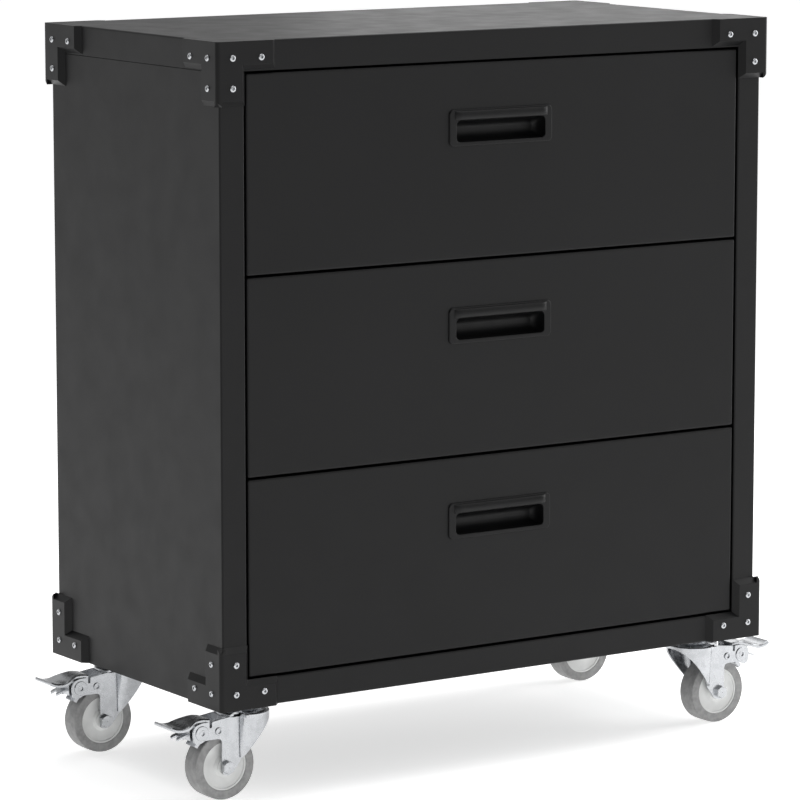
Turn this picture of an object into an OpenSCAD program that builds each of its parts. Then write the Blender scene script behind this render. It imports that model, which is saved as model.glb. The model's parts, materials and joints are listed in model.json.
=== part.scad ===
// Rolling tool chest: a folded steel cabinet with three drawers, eight corner brackets and four
// braked swivel casters. Millimetres, +Z up. The origin is on the floor under the middle of the
// chest. The drawers open towards -Y.

/* [Cabinet] */
// Width of the steel body, without its corner brackets
body_w = 762; // [640:1:940]
// Depth of the steel body, without its corner brackets
body_d = 382; // [318:1:470]
// Height of the steel body, without the casters
body_h = 760; // [630:1:920]
// Thickness of the folded steel sheet
sheet_t = 1.2; // [0.8:0.1:1.6]
// Height of the band that the top panel turns down on all four sides
band_h = 34.5; // [28:0.5:45]
// Width of the stile on each side of the drawer opening
stile_w = 32.5; // [26:0.5:42]
// Depth of the stile's inner return, which carries the front of the slides
stile_return = 45; // [35:1:60]
// Height of the sill under the bottom drawer
sill_h = 32.5; // [28:0.5:42]
// Width of the flange that holds the back panel
back_flange = 24; // [18:1:30]
// Open seam between two panels that meet
seam = 0.6; // [0.3:0.1:1]

/* [Corner brackets] */
// Length of each bracket arm from the corner of the body
bracket_arm = 73; // [66:1:90]
// Width of each bracket arm
bracket_w = 33; // [28:0.5:40]
// How far the brackets stand out from the body
bracket_t = 7; // [5:0.5:9]
// Run of the bevel on the edges of the arms
bracket_bevel = 6.5; // [3:0.5:8]
// Radius of the outer vertical edge
bracket_r = 4.5; // [2:0.5:5]
// First screw, measured from the vertical edge of the body
screw_in = 13.5; // [12:0.5:16]
// First screw, measured from the top or the bottom of the body
screw_up = 18.8; // [14:0.2:20]
// Distance between the screws of the level arm
screw_pitch_h = 37.5; // [32:0.5:40]
// Distance between the screws of the upright arm
screw_pitch_v = 34; // [32:0.5:38]
// Diameter of the screw shank
screw_d = 4; // [3:0.5:5]
// Diameter of the screw head
screw_head_d = 7.6; // [7:0.2:10]
// Height of the screw head
screw_head_h = 1.6; // [1:0.2:2.4]

/* [Drawers] */
// Gap around the drawer fronts
drawer_gap = 2.6; // [2:0.1:4]
// Depth of the folded drawer front
front_t = 20; // [18:1:26]
// How far the tray's walls stop below the top of the front
tray_drop = 38; // [25:1:60]
// How far the tray's floor is above the bottom of the front
tray_lift = 8; // [5:1:14]
// Space behind the tray when it is shut
tray_rear_room = 30; // [24:1:40]

/* [Handles] */
// Width of the finger opening
grip_w = 125; // [95:1:155]
// Height of the finger opening
grip_h = 25; // [20:1:30]
// Height of the bezel under the finger opening
grip_up = 5; // [4:0.5:7]
// Height of the bezel above the finger opening
grip_top = 13; // [12:0.5:18]
// Width of the bezel on each side of the finger opening
grip_side = 10; // [8:0.5:14]
// Depth of the recess behind the drawer front
grip_depth = 17; // [14:0.5:17]
// How far the bezel stands out from the drawer front
bezel_t = 2; // [1:0.2:3]
// How far the hood over the finger opening stands out
hood_out = 5.5; // [3:0.5:6.5]
// Centre of the handle, below the top of its drawer front
handle_drop = 75; // [40:1:110]

/* [Slides] */
// Thickness of a slide between the cabinet and the tray
slide_t = 12.7; // [12:0.1:16]
// Height of the outer rail of a slide
slide_h = 45; // [40:1:50]
// Centre of a slide above the tray's floor
slide_up = 62; // [50:1:90]

/* [Casters] */
// Diameter of the wheel over its tyre
wheel_d = 79; // [65:0.5:95]
// Room from the top of the tyre up to the underside of the body
wheel_room = 35; // [34:0.5:45]
// Width of the wheel
wheel_w = 25; // [20:0.5:30]
// Gap between the wheel and each leg of the fork
wheel_gap = 2.5; // [1.5:0.1:4]
// Diameter of the wheel's centre, inside the tyre
hub_d = 57; // [46:1:60]
// Distance from the swivel axis back to the axle
trail = 30; // [26:1:32]
// Swivel axis, measured in from the side of the body
caster_in_x = 54.5; // [48:0.5:90]
// Swivel axis, measured in from the front or back of the body
caster_in_y = 50; // [46:0.5:75]
// Diameter of the axle bolt
axle_d = 8; // [6:0.5:10]
// Diameter of the swivel pin
kingpin_d = 12; // [10:0.5:14]
// Diameter of the fork's round crown
crown_d = 61; // [56:1:66]
// Thickness of the fork's plate
fork_t = 2.5; // [2:0.1:3]
// Width of the brake pedal at its tip
pedal_w = 40; // [34:1:46]

/* [Hidden] */

$fn = 48;
over = 1;            // how far a cut runs past the face it opens
fit = 0.3;           // clearance around a piece that is set into another
run_gap = 0.4;       // sideways gap between pieces that slide or turn past each other
pin_gap = 0.06;      // radial clearance of a pin in its bore
drawer_count = 3;

caster_h = wheel_room + wheel_d;
half_w = body_w / 2;
half_d = body_d / 2;
base_z = caster_h;
top_z = caster_h + body_h;
skin_half = half_w - sheet_t;
open_half = half_w - stile_w;
open_low = base_z + sill_h;
open_high = top_z - band_h;
panel_top = open_high - seam;

front_h = (open_high - open_low - (drawer_count + 1) * drawer_gap) / drawer_count;
front_half = open_half - drawer_gap;
tray_half = open_half - slide_t;
tray_y0 = -half_d + front_t;
tray_y1 = half_d - tray_rear_room;
tray_h = front_h - tray_drop - tray_lift;
slide_y0 = tray_y0 + 3;                      // the slides start just behind the front's folds
slide_len = tray_y1 - slide_y0;

handle_w = grip_w + 2 * grip_side;
handle_h = grip_up + grip_h + grip_top;

rail_t = 1.2;        // sheet of the slide rails
rail_step = 5;       // how much lower each inner rail of a slide is, on each side
rail_lip = slide_t - 3;                      // reach of the outer rails' lips, clear of the tray
grip_r = 5;          // corner radius of the finger opening
bezel_r = 6;         // corner radius of the bezel
screw_hole_d = screw_d + 0.4;
screw_tail = 5;      // length of a screw inside the panels
screw_socket_d = 2.7;
screw_socket_depth = 1;

axle_z = -caster_h + wheel_d / 2;            // in the caster's own frame, from the body's underside
race_t = 4;                                  // upper race of the swivel
race_d = crown_d - 5;
crown_z = -race_t - 1.5;                     // top of the fork's crown
crown_t = 3.5;
leg_in = wheel_w / 2 + wheel_gap;
leg_out = leg_in + fork_t;
pivot_x = trail + 33;                        // brake pivot and the fork's other rivet
pivot_z = -31;
rivet_x = trail + 11;
rivet_d = 6;
rivet_head_d = 9;
arm_low = pivot_z - 9;                       // lower edge of the brake arm
arm_high = pivot_z + 11.5;                   // upper edge of the brake arm
shoe_gap = 3.5;                              // rest gap from the brake shoe to the tyre
hex_af = 14;                                 // across flats of the axle bolt and nut

black = [0.16, 0.16, 0.165];
zinc = [0.78, 0.79, 0.8];
tyre_grey = [0.5, 0.5, 0.5];
hub_grey = [0.82, 0.82, 0.82];

// Box between two opposite corners
module block(lo, hi) {
    translate(lo) cube(hi - lo);
}

// Rectangle with round corners, centred
module round_rect(w, h, r) {
    square([w - 2 * r, h], center = true);
    square([w, h - 2 * r], center = true);
    for (x = [-1, 1]) for (y = [-1, 1]) translate([x * (w / 2 - r), y * (h / 2 - r)]) circle(r);
}

// Hexagonal prism along +Z
module hexagon(af, h) {
    cylinder(d = af / cos(30), h = h, $fn = 6);
}

// ---- Corner brackets ----

// Arm that lies level on the front face, bevelled on its upper edge and at its end
module level_arm() {
    intersection() {
        rotate([90, 0, 90]) translate([0, 0, -bracket_t]) linear_extrude(bracket_arm + bracket_t)
            polygon([[0, 0], [-bracket_t, 0], [-bracket_t, bracket_w - bracket_bevel], [0, bracket_w]]);
        linear_extrude(bracket_w)
            polygon([[-bracket_t, -bracket_t], [bracket_arm - bracket_bevel, -bracket_t], [bracket_arm, 0],
                [-bracket_t, 0]]);
    }
}

// Arm that stands on the front face, bevelled on its inner edge and at its end
module upright_arm() {
    intersection() {
        linear_extrude(bracket_arm)
            polygon([[-bracket_t, -bracket_t], [bracket_w - bracket_bevel, -bracket_t], [bracket_w, 0],
                [-bracket_t, 0]]);
        rotate([90, 0, 90]) translate([0, 0, -bracket_t]) linear_extrude(bracket_w + bracket_t)
            polygon([[0, 0], [-bracket_t, 0], [-bracket_t, bracket_arm - bracket_bevel], [0, bracket_arm]]);
    }
}

// Puts its children, which point along +Z, on the six screw places of one bracket
module on_screw_places() {
    for (flip = [0, 1]) mirror(flip * [1, -1, 0])
        for (p = [[0, 0], [screw_pitch_h, 0], [0, screw_pitch_v]])
            translate([screw_in + p.x, -bracket_t, screw_up + p.y]) rotate([90, 0, 0]) children();
}

// Puts its children, made for a corner at the front, left and bottom, at the corner that s names
module at_corner(s) {
    translate([s.x * half_w, s.y * half_d, s.z < 0 ? base_z : top_z])
        mirror([max(s.x, 0), 0, 0]) mirror([0, max(s.y, 0), 0]) mirror([0, 0, max(s.z, 0)]) children();
}

module bracket(s) {
    color(black) at_corner(s) difference() {
        for (flip = [0, 1]) mirror(flip * [1, -1, 0]) {
            level_arm();
            upright_arm();
        }
        translate([-bracket_t, -bracket_t, -over]) difference() {
            translate([-over, -over, 0]) cube([bracket_r + over, bracket_r + over, bracket_arm + 2 * over]);
            translate([bracket_r, bracket_r, -over]) cylinder(r = bracket_r, h = bracket_arm + 4 * over);
        }
        on_screw_places() translate([0, 0, -bracket_t - over])
            cylinder(d = screw_hole_d, h = bracket_t + 2 * over);
    }
}

corners = [for (z = [1, -1]) for (y = [-1, 1]) for (x = [-1, 1]) [x, y, z]];

// Holes through the panels under every bracket
module panel_screw_holes() {
    reach = bracket_t + screw_tail + 3;
    for (s = corners) at_corner(s) on_screw_places()
        translate([0, 0, -reach]) cylinder(d = screw_hole_d, h = reach);
}

// Pan-head screws with a small socket
module bracket_screws() {
    color(zinc) for (s = corners) at_corner(s) on_screw_places() difference() {
        union() {
            cylinder(d = screw_head_d, h = screw_head_h);
            translate([0, 0, -bracket_t - screw_tail])
                cylinder(d = screw_d, h = bracket_t + screw_tail + over / 2);
        }
        translate([0, 0, screw_head_h - screw_socket_depth])
            cylinder(d = screw_socket_d, h = screw_socket_depth + over);
    }
}

// ---- Cabinet ----

// Top sheet with a band turned down on four sides and a hem under its front band
module top_panel() {
    hem = 12;
    color(black) difference() {
        union() {
            difference() {
                block([-half_w, -half_d, open_high], [half_w, half_d, top_z]);
                block([-skin_half, -half_d + sheet_t, open_high - over],
                    [skin_half, half_d - sheet_t, top_z - sheet_t]);
            }
            block([-open_half, -half_d, open_high], [open_half, -half_d + hem, open_high + sheet_t]);
        }
        panel_screw_holes();
    }
}

// Left side: skin, front stile with its inner return, back flange, and a joggled strip that the
// top panel's band slips over
module side_panel() {
    inner = half_w - sheet_t - fit;
    front = -half_d;
    back = half_d - sheet_t;
    strip_low = panel_top - 14;
    strip_end = 12;
    difference() {
        union() {
            block([-half_w, front, base_z], [-skin_half, half_d, panel_top]);
            block([-half_w, front, base_z], [-open_half, front + sheet_t, panel_top]);
            block([-open_half - sheet_t, front, base_z + sheet_t + fit],
                [-open_half, front + stile_return, panel_top]);
            block([-half_w, back, base_z], [-half_w + back_flange, half_d, panel_top]);
            block([-half_w, front + strip_end, strip_low],
                [-inner + sheet_t, half_d - strip_end, strip_low + sheet_t]);
            block([-inner, front + strip_end, strip_low],
                [-inner + sheet_t, half_d - strip_end, top_z - sheet_t - fit]);
        }
        panel_screw_holes();
    }
}

module left_side_panel() {
    color(black) side_panel();
}

module right_side_panel() {
    color(black) mirror([1, 0, 0]) side_panel();
}

// Flat back sheet, inside the side panels' flanges and the top panel's band
module back_panel() {
    face = half_d - sheet_t - fit;
    edge = skin_half - 2 * fit - sheet_t;
    color(black) difference() {
        block([-edge, face - sheet_t, base_z + sheet_t + fit], [edge, face, top_z - sheet_t - fit]);
        panel_screw_holes();
    }
}

// Floor sheet with the sill in front, turned up and hemmed
module bottom_panel() {
    lip = 12;
    edge = skin_half - fit;
    sill_half = open_half - fit;
    y0 = -half_d + sheet_t + fit;
    y1 = half_d - sheet_t - fit;
    color(black) difference() {
        union() {
            block([-edge, y0, base_z], [edge, y1, base_z + sheet_t]);
            block([-sill_half, -half_d, base_z], [sill_half, y0 + over, base_z + sheet_t]);
            block([-sill_half, -half_d, base_z], [sill_half, -half_d + sheet_t, open_low]);
            block([-sill_half, -half_d, open_low - sheet_t], [sill_half, -half_d + lip, open_low]);
        }
        for (c = casters) translate([caster_x(c), caster_y(c), base_z - over])
            cylinder(d = kingpin_d + 2 * fit, h = sheet_t + 2 * over);
        panel_screw_holes();
    }
}

// Two Z-shaped posts behind the drawers, which carry the back of the slides
module rear_posts() {
    low = base_z + sheet_t + fit;
    high = panel_top - 20;
    back = half_d - 2 * sheet_t - 2 * fit;
    foot = back - 40;
    screw_room = 3;
    flange = stile_w - screw_in - screw_d / 2 - screw_room;
    color(black) for (side = [0, 1]) mirror([side, 0, 0]) {
        block([-open_half - sheet_t, foot, low], [-open_half, back, high]);
        block([-skin_half + fit, foot, low], [-open_half, foot + sheet_t, high]);
        block([-open_half - flange, back - sheet_t, low], [-open_half, back, high]);
    }
}

// ---- Slides ----

// Channel-shaped rail. Its web is at u0, its lips reach to u1, both measured from the slide's
// outer face towards the tray. The rail on the left side of the drawer is drawn.
module rail(u0, u1, h) {
    x0 = -open_half + min(u0, u1);
    x1 = -open_half + max(u0, u1);
    web = u0 < u1 ? x0 : x1 - rail_t;
    block([web, slide_y0, -h / 2], [web + rail_t, slide_y0 + slide_len, h / 2]);
    for (z = [-h / 2, h / 2 - rail_t])
        block([x0, slide_y0, z], [x1, slide_y0 + slide_len, z + rail_t]);
}

module rail_pair(n, u0, u1, h) {
    color(zinc) translate([0, 0, slide_z(n)])
        for (side = [0, 1]) mirror([side, 0, 0]) rail(u0, u1, h);
}

module cabinet_slides() {
    for (n = [1:drawer_count]) rail_pair(n, 0, rail_lip, slide_h);
}

module middle_slides(n) {
    rail_pair(n, rail_t + run_gap, rail_lip, slide_h - 2 * rail_step);
}

module drawer_slides(n) {
    rail_pair(n, slide_t, 2 * rail_t + 3 * run_gap, slide_h - 4 * rail_step);
}

// ---- Drawers ----

// Bottom of drawer front n, counted from the top of the chest
function front_low(n) = open_high - n * (front_h + drawer_gap);
function slide_z(n) = front_low(n) + tray_lift + slide_up;
function handle_z(n) = front_low(n) + front_h - handle_drop;

// Pressed front, folded back on four sides, with the hole for its handle
module drawer_front(n) {
    z0 = front_low(n);
    color(black) difference() {
        block([-front_half, -half_d, z0], [front_half, tray_y0, z0 + front_h]);
        block([-front_half + sheet_t, -half_d + sheet_t, z0 + sheet_t],
            [front_half - sheet_t, tray_y0 + over, z0 + front_h - sheet_t]);
        translate([0, -half_d - over, handle_z(n) - handle_h / 2 + grip_up + grip_h / 2])
            rotate([-90, 0, 0]) linear_extrude(sheet_t + 2 * over)
                round_rect(grip_w + 2 * (sheet_t + fit), grip_h + 2 * (sheet_t + fit), grip_r + sheet_t);
    }
}

// Open tray of folded sheet
module drawer_tray(n) {
    z0 = front_low(n) + tray_lift;
    color(black) difference() {
        block([-tray_half, tray_y0, z0], [tray_half, tray_y1, z0 + tray_h]);
        block([-tray_half + sheet_t, tray_y0 + sheet_t, z0 + sheet_t],
            [tray_half - sheet_t, tray_y1 - sheet_t, z0 + tray_h + over]);
    }
}

// Cup handle: bezel, hood over the finger opening, and the recess behind it
module drawer_handle(n) {
    grip_z = -handle_h / 2 + grip_up + grip_h / 2;
    hood_z = grip_z + grip_h / 2 + hood_out;
    hood_w = grip_w + 6;
    color(black) translate([0, -half_d, handle_z(n)]) {
        difference() {
            union() {
                rotate([90, 0, 0]) linear_extrude(bezel_t) round_rect(handle_w, handle_h, bezel_r);
                translate([0, 0, grip_z]) rotate([-90, 0, 0]) linear_extrude(grip_depth + sheet_t)
                    round_rect(grip_w + 2 * sheet_t, grip_h + 2 * sheet_t, grip_r + sheet_t);
            }
            translate([0, -bezel_t - over, grip_z]) rotate([-90, 0, 0])
                linear_extrude(grip_depth + bezel_t + over) round_rect(grip_w, grip_h, grip_r);
        }
        intersection() {
            translate([-hood_w / 2, 0, hood_z]) rotate([0, 90, 0]) cylinder(r = hood_out, h = hood_w);
            block([-handle_w / 2, -hood_out, grip_z], [handle_w / 2, 0, handle_h / 2]);
        }
    }
}

// ---- Casters: in the caster's own frame the swivel axis is Z, the body's underside is z = 0 and
// the wheel trails towards +X ----

casters = [[-1, -1], [1, -1], [-1, 1], [1, 1]];
function caster_x(c) = c.x * (half_w - caster_in_x);
function caster_y(c) = c.y * (half_d - caster_in_y);

// Puts its children at one caster; those on the left trail to the left
module at_caster(c) {
    translate([caster_x(c), caster_y(c), base_z]) mirror([max(-c.x, 0), 0, 0]) children();
}

// Threaded stem with the upper race and the riveted swivel pin
module caster_stems() {
    stem_top = sheet_t + 16;
    pin_head = 3;
    pin_low = crown_z - crown_t - pin_head;
    color(zinc) for (c = casters) at_caster(c) {
        translate([0, 0, -race_t]) cylinder(d = race_d, h = race_t - pin_gap);
        translate([0, 0, pin_low]) cylinder(d = kingpin_d, h = stem_top - pin_low);
        translate([0, 0, pin_low]) cylinder(d = kingpin_d + 6, h = pin_head - run_gap);
    }
}

// Nuts that hold the stems from inside the cabinet
module caster_nuts() {
    washer_d = 30;
    washer_t = 2;
    nut_af = 19;
    nut_top = 12;
    color(zinc) for (c = casters) at_caster(c) translate([0, 0, sheet_t]) difference() {
        union() {
            cylinder(d = washer_d, h = washer_t);
            hexagon(nut_af, nut_top);
        }
        translate([0, 0, -over]) cylinder(d = kingpin_d + 2 * pin_gap, h = nut_top + 2 * over);
    }
}

// Outline of one leg with its brake arm, in the plane of the wheel
module leg_outline() {
    leg_x = trail + 6.5;
    difference() {
        union() {
            polygon([[-22, crown_z - crown_t + 1], [26, crown_z - crown_t + 1], [rivet_x + 3, arm_high],
                [pivot_x - 7, arm_high - 1], [pivot_x, pivot_z], [pivot_x - 4, arm_low], [leg_x, arm_low],
                [leg_x, axle_z - 4], [trail - 6, axle_z - 9], [9, axle_z + 6], [-16, pivot_z]]);
            translate([pivot_x, pivot_z]) circle(r = 11);
            translate([pivot_x - 5, arm_low + 2]) circle(r = 5);
            translate([trail - 3, axle_z]) circle(r = 10);
        }
        translate([leg_x, axle_z - 12]) square([20, arm_low - axle_z + 8]);
    }
}

// Stamped fork: round crown, horn that wraps round the swivel side, and two legs
module fork() {
    color(zinc) difference() {
        union() {
            translate([0, 0, crown_z - crown_t]) cylinder(d = crown_d, h = crown_t);
            for (side = [0, 1]) mirror([0, side, 0])
                translate([0, -leg_in, 0]) rotate([90, 0, 0]) linear_extrude(fork_t) leg_outline();
            difference() {
                hull() {
                    translate([0, 0, crown_z - crown_t]) cylinder(d = crown_d, h = 1, $fn = 32);
                    block([8, -leg_out, axle_z + 7], [12, leg_out, axle_z + 8]);
                }
                hull() {
                    translate([0, 0, crown_z - crown_t - over])
                        cylinder(d = crown_d - 2 * fork_t, h = over + 0.5, $fn = 32);
                    block([8, -leg_in, axle_z + 4], [12, leg_in, axle_z + 5]);
                }
                block([-crown_d, -leg_in, axle_z], [12, leg_in, crown_z - crown_t - 3]);
                block([12, -crown_d, axle_z], [crown_d, crown_d, crown_z - crown_t]);
            }
        }
        translate([0, 0, crown_z - crown_t - over])
            cylinder(d = kingpin_d + 2 * pin_gap, h = crown_t + 2 * over);
        translate([trail, leg_out + over, axle_z]) rotate([90, 0, 0])
            cylinder(d = axle_d + 2 * pin_gap, h = 2 * leg_out + 2 * over);
        for (x = [pivot_x, rivet_x]) translate([x, leg_out + over, pivot_z]) rotate([90, 0, 0])
            cylinder(d = rivet_d + 2 * pin_gap, h = 2 * leg_out + 2 * over);
    }
}

// Rubber tyre with a flat tread and small round shoulders
module tyre() {
    r = wheel_d / 2;
    w = wheel_w / 2;
    shoulder = 1.5;
    color(tyre_grey) translate([trail, 0, axle_z]) rotate([90, 0, 0]) rotate_extrude() {
        translate([hub_d / 2, -w]) square([r - shoulder - hub_d / 2, wheel_w]);
        translate([hub_d / 2, -w + shoulder]) square([r - hub_d / 2, wheel_w - 2 * shoulder]);
        for (y = [-1, 1]) translate([r - shoulder, y * (w - shoulder)]) circle(shoulder);
    }
}

// Moulded wheel centre with a raised rim, a dished face and a bored boss
module wheel_hub() {
    w = wheel_w / 2 - 0.5;
    boss_d = 20;
    rim = 3;
    dish = 1.5;
    inner_d = 26;
    color(hub_grey) translate([trail, 0, axle_z]) rotate([90, 0, 0]) difference() {
        union() {
            translate([0, 0, -w]) cylinder(d = hub_d, h = 2 * w);
            translate([0, 0, -leg_in + run_gap]) cylinder(d = boss_d, h = 2 * (leg_in - run_gap));
        }
        for (side = [0, 1]) mirror([0, 0, side]) translate([0, 0, w - dish]) difference() {
            cylinder(d = hub_d - 2 * rim, h = dish + over);
            translate([0, 0, -over]) cylinder(d = inner_d, h = dish + 3 * over);
        }
        translate([0, 0, -leg_out]) cylinder(d = axle_d + 2 * pin_gap, h = 2 * leg_out);
    }
}

// Hexagon bolt through the fork and the wheel, with its nut
module axle_bolt() {
    head = 5.3;
    nut = 6.5;
    tail = 2;
    color(zinc) translate([trail, 0, axle_z]) rotate([90, 0, 0]) {
        translate([0, 0, leg_out]) hexagon(hex_af, head);
        translate([0, 0, -leg_out - nut - tail]) cylinder(d = axle_d, h = 2 * leg_out + nut + tail + over);
        translate([0, 0, -leg_out - nut]) difference() {
            hexagon(hex_af, nut);
            translate([0, 0, -over]) cylinder(d = axle_d + 2 * pin_gap, h = nut + 2 * over);
        }
    }
}

// Two rivets across the brake arm; the outer one is the pedal's pivot
module fork_rivets() {
    head = 1.4;
    socket_d = 4;
    socket_depth = 0.8;
    color(zinc) for (x = [pivot_x, rivet_x]) translate([x, 0, pivot_z]) rotate([90, 0, 0]) {
        translate([0, 0, -leg_out - head]) cylinder(d = rivet_d, h = 2 * (leg_out + head));
        for (side = [0, 1]) mirror([0, 0, side]) translate([0, 0, leg_out]) difference() {
            cylinder(d = rivet_head_d, h = head);
            translate([0, 0, head - socket_depth]) cylinder(d = socket_d, h = socket_depth + over);
        }
    }
}

// Stamped pedal with two ears on its pivot, a release tab under it and the shoe that meets the tyre
module brake_pedal() {
    ear_t = 2.2;
    ear_out = leg_in - run_gap;
    shoe_a = 35;
    shoe_r = wheel_d / 2 + shoe_gap;
    shoe_w = 20;
    shoe_up = 18;
    tab_w = 22;
    tread_t = 2.6;
    path = [[-12, 14.5], [-2, 16], [7, 15], [15, 11.5], [22, 9], [31, 9.5], [42, 13.5]];
    under = [for (i = [len(path) - 1:-1:0]) path[i] - [0, tread_t]];
    color(zinc) difference() {
        union() {
            translate([pivot_x, pedal_w / 2, pivot_z]) rotate([90, 0, 0]) linear_extrude(pedal_w)
                polygon(concat(path, under));
            for (side = [0, 1]) mirror([0, side, 0]) translate([pivot_x, -ear_out + ear_t, pivot_z])
                rotate([90, 0, 0]) linear_extrude(ear_t) {
                    polygon([[-11, 13], [-7, 0], [0, -7], [7, -3], [15, 2], [26, 2], [24, 8], [14, 11], [6, 14]]);
                    circle(r = 7.5);
                }
            translate([pivot_x + 12, -tab_w / 2, pivot_z - 8]) rotate([0, -4, 0]) cube([15, tab_w, 2.2]);
            block([pivot_x + 10, -tab_w / 2, pivot_z - 8.5], [pivot_x + 14, tab_w / 2, pivot_z + 10]);
            block([pivot_x - 6, -ear_out + 1, pivot_z - 8.5], [pivot_x + 12, ear_out - 1, pivot_z - 5.5]);
            translate([trail, 0, axle_z]) rotate([0, -shoe_a, 0])
                block([shoe_r, -shoe_w / 2, -5], [shoe_r + 5, shoe_w / 2, shoe_up]);
        }
        translate([pivot_x, leg_out, pivot_z]) rotate([90, 0, 0])
            cylinder(d = rivet_d + 2 * pin_gap, h = 2 * leg_out);
    }
}

top_panel();
left_side_panel();
right_side_panel();
back_panel();
bottom_panel();
rear_posts();
bracket([-1, -1, 1]);  // bracket_front_left_top
bracket([1, -1, 1]);  // bracket_front_right_top
bracket([-1, 1, 1]);  // bracket_rear_left_top
bracket([1, 1, 1]);  // bracket_rear_right_top
bracket([-1, -1, -1]);  // bracket_front_left_bottom
bracket([1, -1, -1]);  // bracket_front_right_bottom
bracket([-1, 1, -1]);  // bracket_rear_left_bottom
bracket([1, 1, -1]);  // bracket_rear_right_bottom
bracket_screws();
cabinet_slides();
drawer_front(1);  // drawer_front_1
drawer_front(2);  // drawer_front_2
drawer_front(3);  // drawer_front_3
drawer_tray(1);  // drawer_tray_1
drawer_tray(2);  // drawer_tray_2
drawer_tray(3);  // drawer_tray_3
drawer_handle(1);  // drawer_handle_1
drawer_handle(2);  // drawer_handle_2
drawer_handle(3);  // drawer_handle_3
drawer_slides(1);  // drawer_slides_1
drawer_slides(2);  // drawer_slides_2
drawer_slides(3);  // drawer_slides_3
middle_slides(1);  // middle_slides_1
middle_slides(2);  // middle_slides_2
middle_slides(3);  // middle_slides_3
caster_stems();
caster_nuts();
at_caster([-1, -1]) fork();  // fork_front_left
at_caster([1, -1]) fork();  // fork_front_right
at_caster([-1, 1]) fork();  // fork_rear_left
at_caster([1, 1]) fork();  // fork_rear_right
at_caster([-1, -1]) tyre();  // tyre_front_left
at_caster([1, -1]) tyre();  // tyre_front_right
at_caster([-1, 1]) tyre();  // tyre_rear_left
at_caster([1, 1]) tyre();  // tyre_rear_right
at_caster([-1, -1]) wheel_hub();  // wheel_hub_front_left
at_caster([1, -1]) wheel_hub();  // wheel_hub_front_right
at_caster([-1, 1]) wheel_hub();  // wheel_hub_rear_left
at_caster([1, 1]) wheel_hub();  // wheel_hub_rear_right
at_caster([-1, -1]) axle_bolt();  // axle_bolt_front_left
at_caster([1, -1]) axle_bolt();  // axle_bolt_front_right
at_caster([-1, 1]) axle_bolt();  // axle_bolt_rear_left
at_caster([1, 1]) axle_bolt();  // axle_bolt_rear_right
at_caster([-1, -1]) brake_pedal();  // brake_pedal_front_left
at_caster([1, -1]) brake_pedal();  // brake_pedal_front_right
at_caster([-1, 1]) brake_pedal();  // brake_pedal_rear_left
at_caster([1, 1]) brake_pedal();  // brake_pedal_rear_right
at_caster([-1, -1]) fork_rivets();  // fork_rivets_front_left
at_caster([1, -1]) fork_rivets();  // fork_rivets_front_right
at_caster([-1, 1]) fork_rivets();  // fork_rivets_rear_left
at_caster([1, 1]) fork_rivets();  // fork_rivets_rear_right
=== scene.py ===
"""Looks of a rolling tool chest: folded steel cabinet, three drawers, corner brackets, braked casters.

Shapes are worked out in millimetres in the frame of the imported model, and become metres when a
piece is made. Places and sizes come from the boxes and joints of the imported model.
"""

import json
import math

import bmesh
import bpy
import numpy as np
from bpy.props import FloatProperty, FloatVectorProperty, PointerProperty
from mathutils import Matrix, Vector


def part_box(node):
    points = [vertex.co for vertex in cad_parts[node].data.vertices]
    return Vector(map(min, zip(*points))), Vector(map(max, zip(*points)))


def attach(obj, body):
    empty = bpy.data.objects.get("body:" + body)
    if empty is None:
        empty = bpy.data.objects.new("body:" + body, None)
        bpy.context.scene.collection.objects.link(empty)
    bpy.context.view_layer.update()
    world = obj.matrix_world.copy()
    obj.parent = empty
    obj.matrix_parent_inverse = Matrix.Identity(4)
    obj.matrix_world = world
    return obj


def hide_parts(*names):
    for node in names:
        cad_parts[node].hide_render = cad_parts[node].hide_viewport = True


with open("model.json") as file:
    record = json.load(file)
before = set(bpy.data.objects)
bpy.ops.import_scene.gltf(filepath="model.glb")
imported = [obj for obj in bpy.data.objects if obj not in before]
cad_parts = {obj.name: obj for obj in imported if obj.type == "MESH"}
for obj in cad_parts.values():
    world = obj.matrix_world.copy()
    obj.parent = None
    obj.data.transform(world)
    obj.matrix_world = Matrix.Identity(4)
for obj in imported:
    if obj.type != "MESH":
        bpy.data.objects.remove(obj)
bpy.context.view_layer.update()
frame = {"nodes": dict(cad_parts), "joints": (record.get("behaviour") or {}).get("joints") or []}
BOX = {node: np.array(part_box(node)) * 1000 for node in frame["nodes"]}
JOINTS = {joint["name"]: joint for joint in frame["joints"]}

bl_info = {
    "name": "Rolling tool chest",
    "version": (1, 0, 0),
    "blender": (4, 5, 0),
    "location": "3D View > Sidebar > Chest",
    "description": "Builds the looks of a rolling tool chest with three drawers",
    "category": "Object",
}

DRAWERS = (1, 2, 3)
CORNERS = [f"{d}_{s}" for d in ("front", "rear") for s in ("left", "right")]

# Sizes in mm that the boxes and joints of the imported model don't give
SHEET = 1.2                      # folded steel sheet
INNER_SHARE = 0.6                # inset of a folded sheet's inner face, as a share of its outer one's
TOP_CORNER, FRONT_CORNER, TRAY_CORNER = 3.0, 2.2, 3.6     # corners of the folded panels
TOP_LIP_UP, TOP_LIP_IN = 9.0, 12.0       # lip under the front edge of the top panel
STILE = 31.0                     # from the cabinet's side to the lip's end
STILE_RETURN, REAR_FLANGE = 45.0, 24.0   # inner folds of a side panel, in front and behind
SILL_HEM, SILL_FOOT = 12.0, 60.0         # folds of the sill under the drawers, above and below
SILL_ROOM = 2.3                  # from a drawer front's side to the sill's end
FIELD_IN, FIELD_RAMP, FIELD_DEEP = 60.0, 12.0, 1.6        # pressed field of the back panel
BRACKET_T = 7.0                  # corner bracket
SCREW_IN, SCREW_UP = 13.5, 18.8  # first screw of a bracket, from the cabinet's edges
SCREW_PITCH = (37.5, 34.0)       # the other screws of a bracket, from the first
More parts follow.
